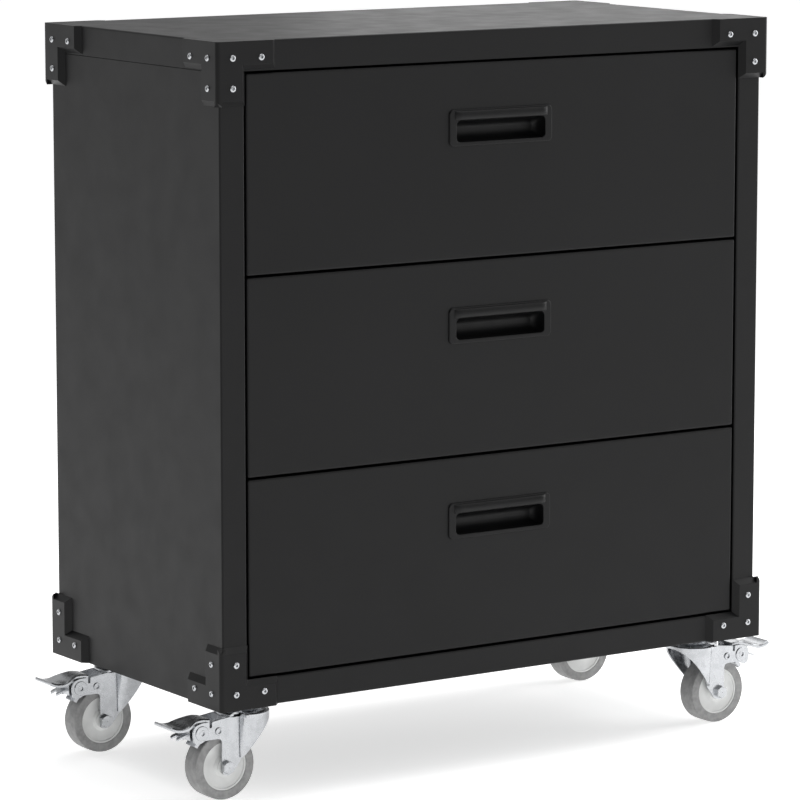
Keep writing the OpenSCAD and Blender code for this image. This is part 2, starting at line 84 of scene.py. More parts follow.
SHANK_R, HEAD_R, SOCKET_R = 2.0, 3.8, 1.6                 # bracket screw
GRIP = np.array([62.5, 12.5])    # half the finger opening of a handle
GRIP_UP = 5.0                    # from a handle's foot to its opening
GRIP_ROOM = 1.4                  # from the finger opening to the hole in the drawer front
BEZEL, BEZEL_CORNER, GRIP_CORNER, LIP_R = 1.95, 6.0, 5.0, 0.9      # handle: height and radii
HOOD_END = 9.0                   # length over which the hood of a handle fades
RAIL_H = (45.0, 35.0, 25.0)      # heights of a slide's outer, middle and inner rails
RAIL_GAP, RAIL_STEP = 3.0, 1.6   # rail lips to the next rail, and outer to middle web
BALL_R, BALL_PITCH, BALL_END = 1.75, 26.0, 90.0           # slide balls
BALL_ROWS = (-19.4, 19.4, -14.4, 14.4)   # heights of the rows of balls in a slide
CREASE_X = 11.0                  # fold between a caster's horn and leg, behind its swivel axis
LEG_OUT, LEG_T = 17.4, 2.4       # outer face of a caster's legs, from its middle, and their sheet
HORN_R, HORN_T = 30.2, 2.2       # horn of a caster in plan
RIVET_BACK = 11.0                # from a caster's axle to the rivet above it
BOLT_HEX, NUT_HEX = 14.0, 19.0   # across the flats of the axle bolts and of the stems' nuts
TREAD_T, TREAD_FOLD = 2.4, 2.0   # sheet and fold of a brake pedal
SHOE_R = (43.0, 47.6)            # inner and outer face of a brake shoe, from the axle


def linear(code):
    """sRGB hex to linear: c / 12.92 up to 0.04045, above it ((c + 0.055) / 1.055) to the power 2.4."""
    c = np.array([int(code[i:i + 2], 16) for i in (1, 3, 5)]) / 255
    return tuple(np.where(c <= 0.04045, c / 12.92, ((c + 0.055) / 1.055) ** 2.4).tolist())


# ---- Surfaces ----
# A skin is (points, quads, caps): an array of points, an array of four-point faces and a list of
# flat end faces with more points.

def grid_faces(m, n, close_m, close_n):
    """Quads between neighbours of an m by n grid; closing a side joins its last line to its first."""
    i = np.arange(m if close_m else m - 1)[:, None]
    j = np.arange(n if close_n else n - 1)[None, :]
    k, l = (i + 1) % m, (j + 1) % n
    return np.stack([i * n + j, i * n + l, k * n + l, k * n + j], -1).reshape(-1, 4)


def tube(rings, ends="cap"):
    """Skin over m closed rings of n points. The ends take flat faces ("cap"), faces across a thin
    outline ("strip"), or the last ring joins the first ("join")."""
    rings = np.asarray(rings, float)
    m, n = rings.shape[:2]
    quads, caps = grid_faces(m, n, ends == "join", True), []
    if ends == "cap":
        caps = [np.arange(n)[::-1], np.arange(n) + (m - 1) * n]
    if ends == "strip":
        i = np.arange(n // 2 - 1)
        across = np.stack([i, i + 1, n - 2 - i, n - 1 - i], -1)
        quads = np.concatenate([quads, across[:, ::-1], across + (m - 1) * n])
    return rings.reshape(-1, 3), quads, caps


def thick(points, depth):
    """Closed skin of a sheet: an m by n grid P and P - depth N, where N is the unit cross product
    of the grid's two directions; each ring runs along a row of P and back along the offset row."""
    points = np.asarray(points, float)
    normal = np.cross(np.gradient(points, axis=0), np.gradient(points, axis=1))
    normal /= np.linalg.norm(normal, axis=-1, keepdims=True) + 1e-12
    return tube(np.concatenate([points, (points - depth * normal)[:, ::-1]], 1), "strip")


def outward(skin):
    """Turns a closed skin's faces outwards: its volume, a sum of p . (q x r) / 6, must be positive."""
    points, quads, caps = skin
    fans = [np.stack([np.full(len(c) - 2, c[0]), c[1:-1], c[2:]], -1) for c in caps]
    p, q, r = points[np.concatenate([quads[:, :3], quads[:, [0, 2, 3]], *fans])].transpose(1, 0, 2)
    if np.einsum("ij,ij->", p - points.mean(0), np.cross(q - points.mean(0), r - points.mean(0))) < 0:
        return points, quads[:, ::-1], [c[::-1] for c in caps]
    return skin


def ring(half_w, half_h, radius, steps=6):
    """Rectangle with round corners as a closed ring of (a, b) points: at each corner its centre
    plus radius (cos t, sin t), with t over a quarter turn. Array sizes give one ring each."""
    t = np.linspace(0, np.pi / 2, steps) + np.arange(4)[:, None] * np.pi / 2
    half_w, half_h, radius = (np.asarray(v, float)[..., None, None] for v in (half_w, half_h, radius))
    a = np.array([1, -1, -1, 1])[:, None] * (half_w - radius) + radius * np.cos(t)
    b = np.array([1, 1, -1, -1])[:, None] * (half_h - radius) + radius * np.sin(t)
    return np.stack([a, b], -1).reshape(*a.shape[:-2], -1, 2)


def rounded(points, radius, closed=True):
    """Polyline with each corner P drawn as (1-s)^2 A + 2s(1-s) P + s^2 B. A and B lie on the two
    sides at r tan(turn / 2) from P, and no further than 0.48 of a side."""
    p = np.asarray(points, float)
    before, after = p - np.roll(p, 1, 0), np.roll(p, -1, 0) - p
    la, lb = (np.linalg.norm(v, axis=1, keepdims=True) for v in (before, after))
    u, v = before / la, after / lb
    turn = np.arccos(np.clip((u * v).sum(1, keepdims=True), -1, 1))
    reach = np.asarray(radius, float).reshape(-1, 1) * np.tan(turn / 2)
    reach = np.minimum(reach, 0.48 * np.minimum(la, lb))
    s = np.linspace(0, 1, 5)[None, :, None]
    a, b = (p - u * reach)[:, None], (p + v * reach)[:, None]
    curve = (1 - s) ** 2 * a + 2 * s * (1 - s) * p[:, None] + s ** 2 * b
    if closed:
        return curve.reshape(-1, 2)
    return np.concatenate([p[:1], curve[1:-1].reshape(-1, 2), p[-1:]])


def sheet_outline(line):
    """Closed outline of a bent sheet: its middle line moved by half the sheet to one side, then
    back along the other side. The side is the line's direction turned a quarter."""
    direction = np.gradient(line, axis=0)
    direction /= np.linalg.norm(direction, axis=1, keepdims=True)
    side = np.stack([-direction[:, 1], direction[:, 0]], 1) * SHEET / 2
    return np.concatenate([line + side, (line - side)[::-1]])


def along(outline, axis, low, high):
    """An (a, b) outline carried straight from low to high along "x", "y" or "z"."""
    at = np.array([low, high], float)[:, None] * np.ones(len(outline))
    a, b = (outline[:, k] + 0 * at for k in (0, 1))
    return np.stack({"x": [at, a, b], "y": [a, at, b], "z": [a, b, at]}[axis], -1)


def turned(profile, centre, axis="z", around=48, limit=None):
    """Solid of revolution: profile (r, h) gives centre + (r cos t, r sin t) across the axis and h
    along it. limit(t) is the largest r at each angle, which cuts flats or a recess."""
    t = np.arange(around) * 2 * np.pi / around
    r, h = (np.asarray(profile, float)[:, k, None] + 0 * t for k in (0, 1))
    if limit is not None:
        r = np.minimum(r, limit(t))
    a, b = r * np.cos(t), r * np.sin(t)
    return tube(np.stack({"z": [a, b, h], "y": [a, h, b]}[axis], -1) + np.asarray(centre, float), "join")


def hexagon(across):
    """Radius of a hexagon: half its width across flats over cos(t - nearest sixth of a turn)."""
    return lambda t: across / 2 / np.cos((t + np.pi / 6) % (np.pi / 3) - np.pi / 6)


def moved(skin, change):
    """The skin with its points changed as a whole array."""
    return change(skin[0]), skin[1], skin[2]


# ---- Pieces ----

def finish_mesh(obj, soft_edge):
    """Smooth faces with sharp edges kept, a small rounding on those edges, and shading that keeps
    flat sheets flat."""
    obj.data.polygons.foreach_set("use_smooth", np.ones(len(obj.data.polygons), bool))
    obj.data.set_sharp_from_angle(angle=math.radians(35))
    if soft_edge:
        edge = obj.modifiers.new("soft edge", "BEVEL")
        edge.width, edge.segments, edge.limit_method = soft_edge / 1000, 2, "ANGLE"
        edge.angle_limit, edge.harden_normals = math.radians(40), False
    flat = obj.modifiers.new("flat sheets", "WEIGHTED_NORMAL")
    flat.keep_sharp, flat.weight = True, 60


def make_piece(name, skins, body, slot, replaces, soft_edge=0.0):
    """One object of all the skins, in metres, in the finish that its slot names."""
    points, faces, count = [], [], 0
    for skin in map(outward, skins):
        points.append(skin[0])
        faces += (skin[1] + count).tolist() + [(cap + count).tolist() for cap in skin[2]]
        count += len(skin[0])
    mesh = bpy.data.meshes.new(name)
    mesh.from_pydata(np.concatenate(points) / 1000, [], faces)
    mesh.validate()
    obj = bpy.data.objects.new(name, mesh)
    bpy.context.scene.collection.objects.link(obj)
    mesh.materials.append(finish(slot))
    finish_mesh(obj, soft_edge)
    place_piece(obj, body, replaces)


def place_piece(obj, body, replaces):
    """Ties a piece to its body and hides the CAD nodes that it stands for."""
    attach(obj, body)
    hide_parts(*replaces)


def softened(node, name, body, slot, radius):
    """A merged copy of a CAD node, with its flat faces joined and its edges rounded."""
    mesh = frame["nodes"][node].data.copy()
    mesh.name = name
    work = bmesh.new()
    work.from_mesh(mesh)
    bmesh.ops.remove_doubles(work, verts=work.verts, dist=1e-6)
    bmesh.ops.dissolve_limit(work, angle_limit=math.radians(0.5), verts=work.verts, edges=work.edges)
    work.to_mesh(mesh)
    work.free()
    mesh.materials.clear()
    mesh.materials.append(finish(slot))
    obj = bpy.data.objects.new(name, mesh)
    bpy.context.scene.collection.objects.link(obj)
    finish_mesh(obj, radius)
    place_piece(obj, body, [node])


# ---- Finishes ----

def add_node(tree, kind, values=None, **settings):
    """Adds a node with its settings. A value that is a socket is linked, any other is set."""
    node = tree.nodes.new(kind)
    for key, value in settings.items():
        setattr(node, key, value)
    for key, value in (values or {}).items():
        if isinstance(value, bpy.types.NodeSocket):
            tree.links.new(value, node.inputs[key])
        else:
            node.inputs[key].default_value = value
    return node


def start_finish(name, **constants):
    """A new material with its shader, whose constants are set on the shader's own sockets."""
    material = bpy.data.materials.new(name)
    material.use_nodes = True
    tree = material.node_tree
    tree.nodes.clear()
    sockets = {key.replace("_", " "): value for key, value in constants.items()}
    shader = add_node(tree, "ShaderNodeBsdfPrincipled", sockets)
    add_node(tree, "ShaderNodeOutputMaterial", {"Surface": shader.outputs["BSDF"]})
    return material, tree, shader


def two_tones(tree, factor, dark, light):
    """Colour that runs from dark to light as the factor runs over the middle of its range."""
    ramp = add_node(tree, "ShaderNodeValToRGB", {"Fac": factor})
    for element, place, colour in zip(ramp.color_ramp.elements, (0.35, 0.65), (dark, light)):
        element.position, element.color = place, (*colour, 1)
    return ramp.outputs["Color"]


def grain(tree, size_mm, detail, stretch=(1, 1, 1)):
    """Noise whose grain is size_mm across, on the piece's own coordinates; stretch pulls it out."""
    place = add_node(tree, "ShaderNodeTexCoord").outputs["Object"]
    scale = tuple(1 / s for s in stretch)
    place = add_node(tree, "ShaderNodeMapping", {"Vector": place, "Scale": scale}).outputs["Vector"]
    return add_node(tree, "ShaderNodeTexNoise", {
        "Vector": place, "Scale": 1000 / size_mm, "Detail": detail, "Roughness": 0.55}).outputs["Fac"]


def spread(tree, factor, low, high):
    """A value that runs from low to high as the factor runs over the middle of its range."""
    return add_node(tree, "ShaderNodeMapRange", {
        "Value": factor, "From Min": 0.3, "From Max": 0.7,
        "To Min": low, "To Max": high}).outputs["Result"]


def bump(tree, height, depth_mm):
    """Normal of a surface whose pattern is depth_mm deep."""
    return add_node(tree, "ShaderNodeBump", {
        "Height": height, "Distance": depth_mm / 1000, "Strength": 1.0}).outputs["Normal"]


def link(tree, shader, **sockets):
    """Links each socket to the shader's input of that name."""
    for name, socket in sockets.items():
        tree.links.new(socket, shader.inputs[name.replace("_", " ")])


def powder_coat(name, colour, roughness):
    """Satin polyester powder coat on steel: an even film with a faint orange peel, which breaks the
    edge of a reflection and leaves the sheet's own slow waves."""
    material, tree, shader = start_finish(name, IOR=1.5, Specular_IOR_Level=0.24)
    film = grain(tree, 260, 2)
    peel = grain(tree, 2.6, 2)     # real peel is about 1 mm, too fine to show
    base = np.array(colour)
    link(tree, shader,
         Base_Color=two_tones(tree, film, tuple(base * 0.86), tuple(base * 1.16)),
         Roughness=spread(tree, grain(tree, 34, 4), roughness - 0.03, roughness + 0.04),
         Normal=bump(tree, peel, 0.012))
    return material


def zinc_plate(name, colour, roughness, stretch=(1, 1, 1)):
    """Bright zinc plating with a clear passivate: a fine drawn or rolled grain from the steel below,
    slightly blue, with duller clouds where the film is thicker."""
    material, tree, shader = start_finish(name, Metallic=1.0)
    clouds = grain(tree, 9, 3)
    lines = grain(tree, 0.9, 2, stretch)
    base = np.array(colour)
    link(tree, shader,
         Base_Color=two_tones(tree, clouds, tuple(base * 0.84), tuple(base)),
         Roughness=spread(tree, clouds, roughness - 0.05, roughness + 0.1),
         Normal=bump(tree, lines, 0.02))
    return material


def moulded_plastic(name, colour, roughness, texture_mm, depth_mm, gloss=0.5):
    """Injection-moulded plastic with a spark-eroded texture, which scatters the gloss evenly."""
    material, tree, shader = start_finish(name, IOR=1.53, Specular_IOR_Level=gloss)
    base = np.array(colour)
    light = tuple(np.minimum(base * 1.08, 1))
    link(tree, shader,
         Base_Color=two_tones(tree, grain(tree, 30, 2), tuple(base * 0.9), light),
         Roughness=spread(tree, grain(tree, 12, 3), roughness - 0.04, roughness + 0.06),
         Normal=bump(tree, grain(tree, texture_mm, 3), depth_mm))
    return material


def tyre_rubber(name, colour):
    """Moulded thermoplastic rubber: matt, with a faint bloom and fine scuffs on its tread."""
    material, tree, shader = start_finish(name, IOR=1.5)
    base = np.array(colour)
    link(tree, shader,
         Base_Color=two_tones(tree, grain(tree, 7, 5), tuple(base * 0.82), tuple(base * 1.1)),
         Roughness=spread(tree, grain(tree, 5, 4), 0.52, 0.68),
         Normal=bump(tree, grain(tree, 1.4, 4), 0.06))
    return material


def pale_floor(name, colour, glow):
    """White acrylic light table: a matt diffusing sheet, lit evenly from below."""
    material, tree, shader = start_finish(
        name, IOR=1.49, Emission_Color=(1, 1, 1, 1), Emission_Strength=glow)
    base = np.array(colour)
    link(tree, shader,
         Base_Color=two_tones(tree, grain(tree, 900, 2), tuple(base * 0.99), tuple(base)),
         Roughness=spread(tree, grain(tree, 300, 2), 0.85, 0.95),
         Normal=bump(tree, grain(tree, 8, 2), 0.02))
    return material


FINISHES = {}


def finish(key):
    """The finish of that name, made once."""
    if key not in FINISHES:
        cabinet, casters = bpy.context.scene.chest_cabinet, bpy.context.scene.chest_casters
        FINISHES[key] = {
            "cabinet_paint": lambda: powder_coat(
                "satin_powder_coated_steel", cabinet.paint_colour, cabinet.paint_roughness),
            "bracket_paint": lambda: powder_coat(
                "satin_powder_coated_bracket", cabinet.paint_colour, cabinet.paint_roughness - 0.04),
            "screw_zinc": lambda: zinc_plate("bright_zinc_screw", casters.zinc_colour, 0.22),
            "slide_zinc": lambda: zinc_plate("rolled_zinc_slide", casters.zinc_colour, 0.3, (1, 40, 1)),
            "caster_zinc": lambda: zinc_plate("pressed_zinc_caster", casters.zinc_colour, 0.24),
            "handle_plastic": lambda: moulded_plastic(
                "moulded_abs_handle", cabinet.handle_colour, 0.4, 1.6, 0.012, gloss=0.22),
            "tyre_rubber": lambda: tyre_rubber("grey_thermoplastic_rubber", casters.tyre_colour),
            "wheel_plastic": lambda: moulded_plastic(
                "moulded_polypropylene_wheel", casters.hub_colour, 0.42, 2.2, 0.02),
        }[key]()
    return FINISHES[key]


# ---- Sizes and colours that a user would change ----

class CabinetLook(bpy.types.PropertyGroup):
    paint_colour: FloatVectorProperty(
        name="Paint", description="Colour of the powder coat", subtype="COLOR", size=3,
        min=0, max=1, default=linear("#0c0c0d"))
    paint_roughness: FloatProperty(
        name="Paint roughness", description="How satin the powder coat is", subtype="FACTOR",
        default=0.42, min=0.1, max=0.9)
    handle_colour: FloatVectorProperty(
        name="Handle", description="Colour of the moulded handles", subtype="COLOR", size=3,
        min=0, max=1, default=linear("#0b0b0c"))
    fold_radius: FloatProperty(
        name="Fold radius", description="Radius of the folds, in the middle of the sheet, in mm",
        default=1.6, min=1.0, max=4.0)
    edge_radius: FloatProperty(
        name="Bracket edge", description="Rounding on the edges of the corner brackets, in mm",
        default=0.9, min=0.2, max=2.0)


class DrawerLook(bpy.types.PropertyGroup):
    hem: FloatProperty(
        name="Hem", description="Width of the rolled hem on top of the tray's walls, in mm",
        default=3.0, min=2.6, max=6.0)
    scoop: FloatProperty(
        name="Finger scoop", description="How much the back of the finger recess is rounded",
        subtype="FACTOR", default=0.85, min=0.2, max=1.0)
    bezel_edge: FloatProperty(
        name="Bezel edge", description="Rounding on the edge of the handle's bezel, in mm",
        default=1.4, min=0.4, max=1.9)


class CasterLook(bpy.types.PropertyGroup):
    zinc_colour: FloatVectorProperty(
        name="Zinc", description="Colour of the bright zinc plating", subtype="COLOR", size=3,
        min=0, max=1, default=linear("#c6c8cb"))
    tyre_colour: FloatVectorProperty(
        name="Tyre", description="Colour of the tyre's rubber", subtype="COLOR", size=3,
        min=0, max=1, default=linear("#999999"))
    hub_colour: FloatVectorProperty(
        name="Wheel centre", description="Colour of the moulded wheel centre", subtype="COLOR", size=3,
        min=0, max=1, default=linear("#e0e1e0"))
    tread_radius: FloatProperty(
        name="Tyre shoulder", description="Radius of the tyre's shoulders, in mm",
        default=1.3, min=0.6, max=4.0)
    pressed_edge: FloatProperty(
        name="Pressed edge", description="Rounding on the stamped steel's edges, in mm",
        default=0.6, min=0.1, max=1.0)


class StageLook(bpy.types.PropertyGroup):
    floor_colour: FloatVectorProperty(
        name="Floor", description="Colour of the floor", subtype="COLOR", size=3, min=0, max=1,
        default=linear("#f7f7f7"))
    floor_glow: FloatProperty(
        name="Floor glow", description="Light that comes up through the floor",
        default=0.6, min=0, max=2)
    room_light: FloatProperty(
        name="Room light", description="Strength of the even light all round",
        default=0.5, min=0, max=4)
    top_light: FloatProperty(
        name="Top light", description="Power of the softbox above", unit="POWER",
        default=60, min=0, max=4000)
    back_light: FloatProperty(
        name="Back light", description="Power of the softbox behind", unit="POWER",
        default=5, min=0, max=4000)
    side_light: FloatProperty(
        name="Side light", description="Power of the softbox on the right", unit="POWER",
        default=60, min=0, max=4000)


# ---- Cabinet ----

class CHEST_OT_panels(bpy.types.Operator):
    """Folds the top, side and bottom panels and the back panel of the cabinet"""
    bl_idname = "chest.panels"
    bl_label = "Cabinet panels"

    def execute(self, context):
        fold = context.scene.chest_cabinet.fold_radius
        self.top(fold)
        for side, sign in (("left", 1), ("right", -1)):
            self.side(f"{side}_side_panel", sign, fold)
        self.bottom(fold)
        self.back()
        softened("rear_posts", "rear_posts_folded", "cabinet", "cabinet_paint", 0.4)
        return {"FINISHED"}

    def top(self, fold):
        """Tray shape upside down: rings of a rounded rectangle that rise up the outside, turn over
        the fold as a quarter circle, and come down inside a sheet's thickness away."""
        (x0, y0, z0), (x1, y1, z1) = BOX["top_panel"]
        outer, t = fold + SHEET / 2, np.linspace(0, np.pi / 2, 6)
        inset = np.concatenate([[0, 0], outer * (1 - np.cos(t)), [outer + 1]])
        height = np.concatenate([[z0, z1 - outer - 6], z1 - outer + outer * np.sin(t), [z1]])
        corner = np.maximum(TOP_CORNER - inset, 0.4)
        half_x, half_y, inner = (x1 - x0) / 2, (y1 - y0) / 2, inset * INNER_SHARE
        outside = ring(half_x - inset, half_y - inset, corner)
        inside = ring(half_x - SHEET - inner, half_y - SHEET - inner, np.maximum(corner - SHEET, 0.3))
        level = np.minimum(height, z1 - SHEET)
        skin = np.concatenate([
            np.dstack([inside, np.broadcast_to(level[:, None], inside.shape[:2])])[::-1],
            np.dstack([outside, np.broadcast_to(height[:, None], outside.shape[:2])])])
        hem = rounded([[y0 + 0.7, z0 + TOP_LIP_UP], [y0 + SHEET / 2 + 0.05, z0 + SHEET / 2],
                       [y0 + TOP_LIP_IN, z0 + SHEET / 2]], fold, closed=False)
        half = BOX["bottom_panel"][1][0] - STILE
        lip = tube(along(sheet_outline(hem), "x", -half, half), "strip")
        make_piece("top_panel_folded", [tube(skin), lip], "cabinet", "cabinet_paint", ["top_panel"])

    def side(self, node, sign, fold):
        """Bent sheet carried up: its line runs from the stile's inner return round the stile, back
        along the skin and round the rear flange."""
        (x0, y0, z0), (x1, y1, _) = BOX[node]
        z1 = BOX["top_panel"][0][2] - SHEET / 2
        h = SHEET / 2
        edge, inner = (x0 + h, x1 - h) if sign > 0 else (x1 - h, x0 + h)
        line = [[inner, y0 + STILE_RETURN], [inner, y0 + h], [edge, y0 + h], [edge, y1 - h],
                [edge + sign * (REAR_FLANGE - h), y1 - h]]
        outline = sheet_outline(rounded(line, fold, closed=False))
        make_piece(f"{node}_folded", [tube(along(outline, "z", z0, z1), "strip")], "cabinet",
                   "cabinet_paint", [node])

    def bottom(self, fold):
        """Bent sheet carried across: its line runs from the sill's hem down the sill and back
        under the cabinet; the wider floor sheet starts behind the stiles."""
        (x0, y0, z0), (x1, y1, z1) = BOX["bottom_panel"]
        h, half = SHEET / 2, BOX["drawer_front_1"][1][0] + SILL_ROOM
        line = [[y0 + SILL_HEM, z1 - h], [y0 + h, z1 - h], [y0 + h, z0 + h], [y0 + SILL_FOOT, z0 + h]]
        sill = tube(along(sheet_outline(rounded(line, fold, closed=False)), "x", -half, half), "strip")
        front, low, high = y0 + 1.6, z0 + 0.02, z0 + SHEET
        floor = tube(along(np.array([[front, low], [y1, low], [y1, high], [front, high]]), "x", x0, x1))
        make_piece("bottom_panel_folded", [sill, floor], "cabinet", "cabinet_paint", ["bottom_panel"])

    def back(self):
        """Flat sheet with one shallow pressed field, on a grid of the panel: its depth is the field's
        times sin^2 of a quarter turn over the ramp."""
        (x0, y0, z0), (x1, y1, z1) = BOX["back_panel"]
        step = np.concatenate([[0, FIELD_IN], FIELD_IN + np.linspace(0, FIELD_RAMP, 6)[1:]])
        x = np.concatenate([x0 + step, (x1 - step)[::-1]])
        z = np.concatenate([z0 + step, (z1 - step)[::-1]])
        from_edge = np.minimum.reduce(np.meshgrid(
            np.minimum(x - x0, x1 - x), np.minimum(z - z0, z1 - z), indexing="ij"))
        rise = np.clip((from_edge - FIELD_IN) / FIELD_RAMP, 0, 1)
        gx, gz = np.meshgrid(x, z, indexing="ij")
        face = np.stack([gx, y1 - FIELD_DEEP * np.sin(rise * np.pi / 2) ** 2, gz], -1)
        make_piece("back_panel_pressed", [thick(face, -(y1 - y0))], "cabinet", "cabinet_paint",
                   ["back_panel"])


class CHEST_OT_brackets(bpy.types.Operator):
    """Makes the eight corner brackets with softened edges"""
    bl_idname = "chest.brackets"
    bl_label = "Corner brackets"

    def execute(self, context):
        radius = context.scene.chest_cabinet.edge_radius
        for corner in CORNERS:
            for level in ("top", "bottom"):
                softened(f"bracket_{corner}_{level}", f"corner_bracket_{corner}_{level}", "cabinet",
                         "bracket_paint", radius)
        return {"FINISHED"}


class CHEST_OT_screws(bpy.types.Operator):
    """Turns the pan-head screws of the brackets, each with a round socket"""
    bl_idname = "chest.screws"
    bl_label = "Bracket screws"

    def execute(self, context):
        """A screw is turned from a (r, h) profile: shank, a domed head that is a quarter ellipse,
        and the bore. A cup with a pointed floor is the socket in it."""
        proud = BOX["bracket_screws"][1][0] - BOX["bracket_front_right_top"][1][0]
        t = np.linspace(0, np.pi / 2, 6)
        dome = np.stack([SHANK_R + (HEAD_R - SHANK_R) * np.cos(t), proud * (0.3 + 0.7 * np.sin(t))], 1)
        head = turned(np.concatenate([[[SHANK_R, -7.5], [SHANK_R, -0.4], [HEAD_R, 0.05]], dome,
                                      [[SOCKET_R, proud]]]), (0, 0, 0), around=32)
        cup = np.array([[1.65, -0.05], [1.55, -2.6], [0.3, -3.4], [0.3, -3.9], [1.9, -3.9]])
        recess = turned(cup + [0, proud], (0, 0, 0), around=24)
        skins = []
        for node in (n for n in BOX if n.startswith("bracket_") and n != "bracket_screws"):
            skins += self.on_bracket(*BOX[node], head, recess)
        make_piece("bracket_screws_turned", skins, "cabinet", "screw_zinc", ["bracket_screws"])
        return {"FINISHED"}

    def on_bracket(self, lo, hi, head, recess):
        """Six screws on one bracket: three on each of its two faces."""
        middle = (BOX["top_panel"][1][2] + BOX["bottom_panel"][0][2]) / 2
        sx, sy, sz = np.sign((lo + hi) / 2 - (0, 0, middle))
        corner = np.where(np.array([sx, sy, sz]) > 0, hi, lo)
        skins = []
        for right, up in ((0, 0), (SCREW_PITCH[0], 0), (0, SCREW_PITCH[1])):
            a, b = BRACKET_T + SCREW_IN + right, SCREW_UP + up
            for across, out in ((0, 1), (1, 0)):
                place = corner.copy()
                place[across] -= (sx, sy)[across] * a
                place[2] -= sz * b
                sign = (sx, sy)[out]

                def put(p, across=across, out=out, place=place, sign=sign):
                    q = np.empty_like(p)
                    q[:, across], q[:, out], q[:, 2] = p[:, 0], p[:, 2] * sign, p[:, 1]
                    return q + place
                skins += [moved(head, put), moved(recess, put)]
        return skins


# ---- Drawers ----

class CHEST_OT_drawer_fronts(bpy.types.Operator):
    """Presses the three drawer fronts, folded back on four sides and cut for their handles"""
    bl_idname = "chest.drawer_fronts"
    bl_label = "Drawer fronts"

    def execute(self, context):
        for n in DRAWERS:
            self.front(n, context.scene.chest_cabinet.fold_radius)
        return {"FINISHED"}

    def front(self, n, fold):
        """Rings of a rounded rectangle: forward along the folded sides, round the fold as a quarter
        circle, across the face to the handle's opening, then back a sheet's thickness inside."""
        (x0, y0, z0), (x1, y1, z1) = BOX[f"drawer_front_{n}"]
        half_w, half_h, mid = (x1 - x0) / 2, (z1 - z0) / 2, (z0 + z1) / 2
        grip_z = BOX[f"drawer_handle_{n}"][0][2] + GRIP_UP + GRIP[1]
        outer, t = fold + SHEET / 2, np.linspace(0, np.pi / 2, 6)
        inset = np.concatenate([[0, 0], outer * (1 - np.cos(t)), [outer + 1.5]])
        depth = np.concatenate([[y1, y0 + outer + 4], y0 + outer - outer * np.sin(t), [y0]])
        corner = np.maximum(FRONT_CORNER - inset, 0.4)
        inner = inset * INNER_SHARE

        def at(rings, y, z):
            y = np.broadcast_to(np.asarray(y, float)[:, None], rings.shape[:2])
            return np.stack([rings[..., 0], y, rings[..., 1] + z], -1)

        hole = ring(*(np.full(2, v) for v in (*(GRIP + GRIP_ROOM), BEZEL_CORNER + 0.2)))
        outside = at(ring(half_w - inset, half_h - inset, corner), depth, mid)
        inside = at(ring(half_w - SHEET - inner, half_h - SHEET - inner, np.maximum(corner - SHEET, 0.3)),
                    np.maximum(depth, y0 + SHEET), mid)
        skin = np.concatenate([outside, at(hole, [y0, y0 + SHEET], grip_z), inside[::-1]])
        make_piece(f"drawer_front_{n}_pressed", [tube(skin, "join")], f"drawer_{n}", "cabinet_paint",
                   [f"drawer_front_{n}"])


class CHEST_OT_drawer_trays(bpy.types.Operator):
    """Folds the three open trays, with a rolled hem along the top of their walls"""
    bl_idname = "chest.drawer_trays"
    bl_label = "Drawer trays"

    def execute(self, context):
        look = context.scene.chest_drawers
        for n in DRAWERS:
            self.tray(n, look.hem, context.scene.chest_cabinet.fold_radius)
        return {"FINISHED"}

    def tray(self, n, hem, fold):
        """Rings of a rounded rectangle: from the floor round the bottom fold, up the walls, over a
        hem whose section is a half circle, down inside and across the floor again."""
        (x0, y0, z0), (x1, y1, z1) = BOX[f"drawer_tray_{n}"]
        outer, t = fold + SHEET / 2, np.linspace(0, np.pi / 2, 5)
        half_t = np.linspace(0, np.pi, 7)
        inset = np.concatenate([
            [outer + 1], outer * (1 - np.sin(t)), [0], hem / 2 * (1 - np.cos(half_t)),
            [hem, SHEET, SHEET], SHEET + (outer - SHEET) * (1 - np.cos(t)), [outer + 1]])
        height = np.concatenate([
            [z0], z0 + outer * (1 - np.cos(t)), [z1 - 14], z1 - hem / 2 + hem / 2 * np.sin(half_t),
            [z1 - 9, z1 - 10, z0 + outer + 2], z0 + outer - (outer - SHEET) * np.sin(t), [z0 + SHEET]])
        corner = np.maximum(TRAY_CORNER - inset, 0.5)
        rings = ring((x1 - x0) / 2 - inset, (y1 - y0) / 2 - inset, corner)
        rings += [(x0 + x1) / 2, (y0 + y1) / 2]
        skin = np.dstack([rings, np.broadcast_to(height[:, None], rings.shape[:2])])
        make_piece(f"drawer_tray_{n}_folded", [tube(skin)], f"drawer_{n}", "cabinet_paint",
                   [f"drawer_tray_{n}"])


